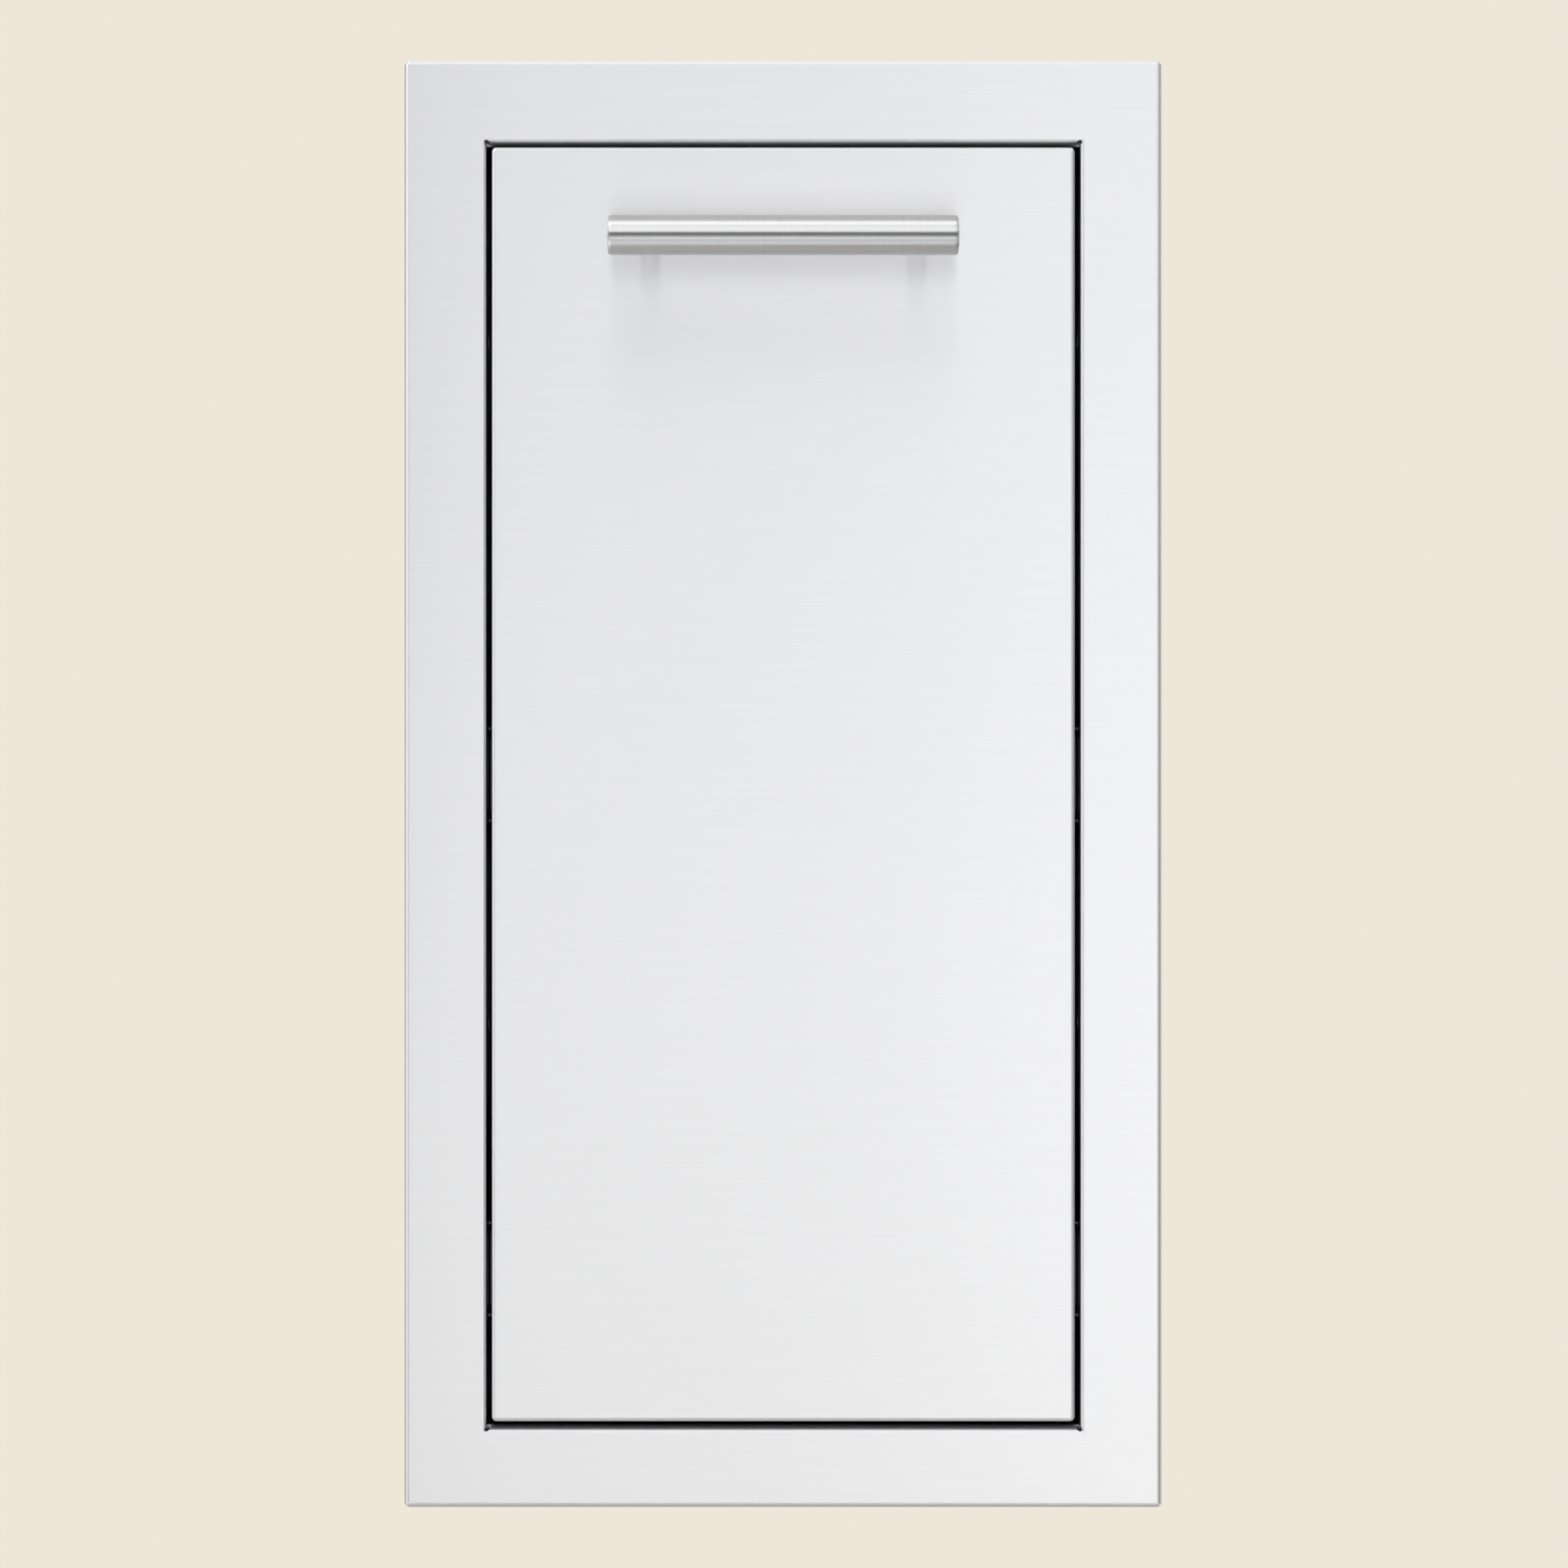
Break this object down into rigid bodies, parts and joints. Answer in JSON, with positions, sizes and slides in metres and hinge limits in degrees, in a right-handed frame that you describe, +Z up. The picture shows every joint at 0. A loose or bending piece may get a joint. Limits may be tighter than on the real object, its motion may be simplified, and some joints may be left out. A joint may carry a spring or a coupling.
{
  "type": "built-in pull-out drawer with paper towel holder",
  "caption": "Tall flush stainless front with a bar handle in a folded face frame: a pull-out on ball slides with a drawer below and a turning paper towel spindle above.",
  "frame": {"origin": "middle of the face frame's lower edge, on the plane where its return flange meets the wall", "axes": "+X to the right seen from the front, +Y into the wall, +Z up"},
  "size_m": [0.362, 0.482, 0.691],
  "materials": {
    "brushed_steel": "stainless steel with a fine horizontal brushed grain",
    "handle_steel": "stainless steel, turned grain around the bar",
    "cabinet_steel": "mill-finish stainless sheet",
    "tray_steel": "stainless sheet with a light brushed grain",
    "zinc_plate": "black zinc plate",
    "cage_steel": "thin plated steel strip",
    "bearing_steel": "polished bearing balls",
    "fastener_steel": "plain stainless fasteners",
    "spindle_steel": "satin stainless, turned",
    "bumper_rubber": "black rubber",
    "plug_plastic": "black moulded plastic",
    "bush_plastic": "natural nylon"
  },
  "bodies": {
    "cabinet": {"face_frame": "brushed_steel", "left_side_panel": "cabinet_steel", "right_side_panel": "cabinet_steel", "top_panel": "cabinet_steel", "bottom_panel": "cabinet_steel", "back_panel": "cabinet_steel", "panel_rivets": "fastener_steel", "rear_bumpers": "bumper_rubber", "left_lower_cabinet_rail": "zinc_plate", "right_lower_cabinet_rail": "zinc_plate", "left_upper_cabinet_rail": "zinc_plate", "right_upper_cabinet_rail": "zinc_plate", "cabinet_rail_screws": "fastener_steel", "cabinet_rail_nuts": "fastener_steel"},
    "middle_rails": {"left_lower_middle_rail": "zinc_plate", "right_lower_middle_rail": "zinc_plate", "left_upper_middle_rail": "zinc_plate", "right_upper_middle_rail": "zinc_plate"},
    "outer_ball_cages": {"left_lower_outer_cage": "cage_steel", "right_lower_outer_cage": "cage_steel", "left_upper_outer_cage": "cage_steel", "right_upper_outer_cage": "cage_steel", "outer_cage_balls": "bearing_steel"},
    "inner_ball_cages": {"left_lower_inner_cage": "cage_steel", "right_lower_inner_cage": "cage_steel", "left_upper_inner_cage": "cage_steel", "right_upper_inner_cage": "cage_steel", "inner_cage_balls": "bearing_steel"},
    "pull_out": {"front_panel": "brushed_steel", "front_liner": "tray_steel", "handle_bar": "handle_steel", "left_handle_post": "handle_steel", "right_handle_post": "handle_steel", "handle_screws": "fastener_steel", "handle_backing_plate": "zinc_plate", "liner_plugs": "plug_plastic", "lower_drawer": "tray_steel", "upper_tray": "tray_steel", "left_rear_upright": "tray_steel", "right_rear_upright": "tray_steel", "upright_rivets": "fastener_steel", "front_screws": "fastener_steel", "front_clinch_nuts": "fastener_steel", "left_lower_drawer_rail": "zinc_plate", "right_lower_drawer_rail": "zinc_plate", "left_upper_drawer_rail": "zinc_plate", "right_upper_drawer_rail": "zinc_plate", "drawer_rail_screws": "fastener_steel", "drawer_rail_nuts": "fastener_steel", "spindle_base": "spindle_steel", "spindle_bush": "bush_plastic", "spindle_base_screws": "fastener_steel", "spindle_base_nuts": "fastener_steel"},
    "towel_spindle": {"spindle_shaft": "spindle_steel", "roll_plate": "spindle_steel", "roll_plate_set_screw": "fastener_steel", "spindle_knob": "spindle_steel", "retaining_ring": "fastener_steel"}
  },
  "joints": [
    {"name": "drawer_slide", "type": "slide", "parent": "cabinet", "child": "pull_out", "axis": [0, -1, 0], "range_m": [0, 0.39]},
    {"name": "middle_slide", "type": "slide", "parent": "cabinet", "child": "middle_rails", "axis": [0, -1, 0], "range_m": [0, 0.195]},
    {"name": "outer_cage_slide", "type": "slide", "parent": "cabinet", "child": "outer_ball_cages", "axis": [0, -1, 0], "range_m": [0, 0.0975]},
    {"name": "inner_cage_slide", "type": "slide", "parent": "middle_rails", "child": "inner_ball_cages", "axis": [0, -1, 0], "range_m": [0, 0.0975]},
    {"name": "spindle_turn", "type": "hinge", "parent": "pull_out", "child": "towel_spindle", "pos_m": [0, 0.107, 0.335], "axis": [0, 0, 1], "continuous": true}
  ],
  "couplings": [
    {"joint": "middle_slide", "follows": "drawer_slide", "ratio": 0.5},
    {"joint": "outer_cage_slide", "follows": "drawer_slide", "ratio": 0.25},
    {"joint": "inner_cage_slide", "follows": "drawer_slide", "ratio": 0.25}
  ]
}
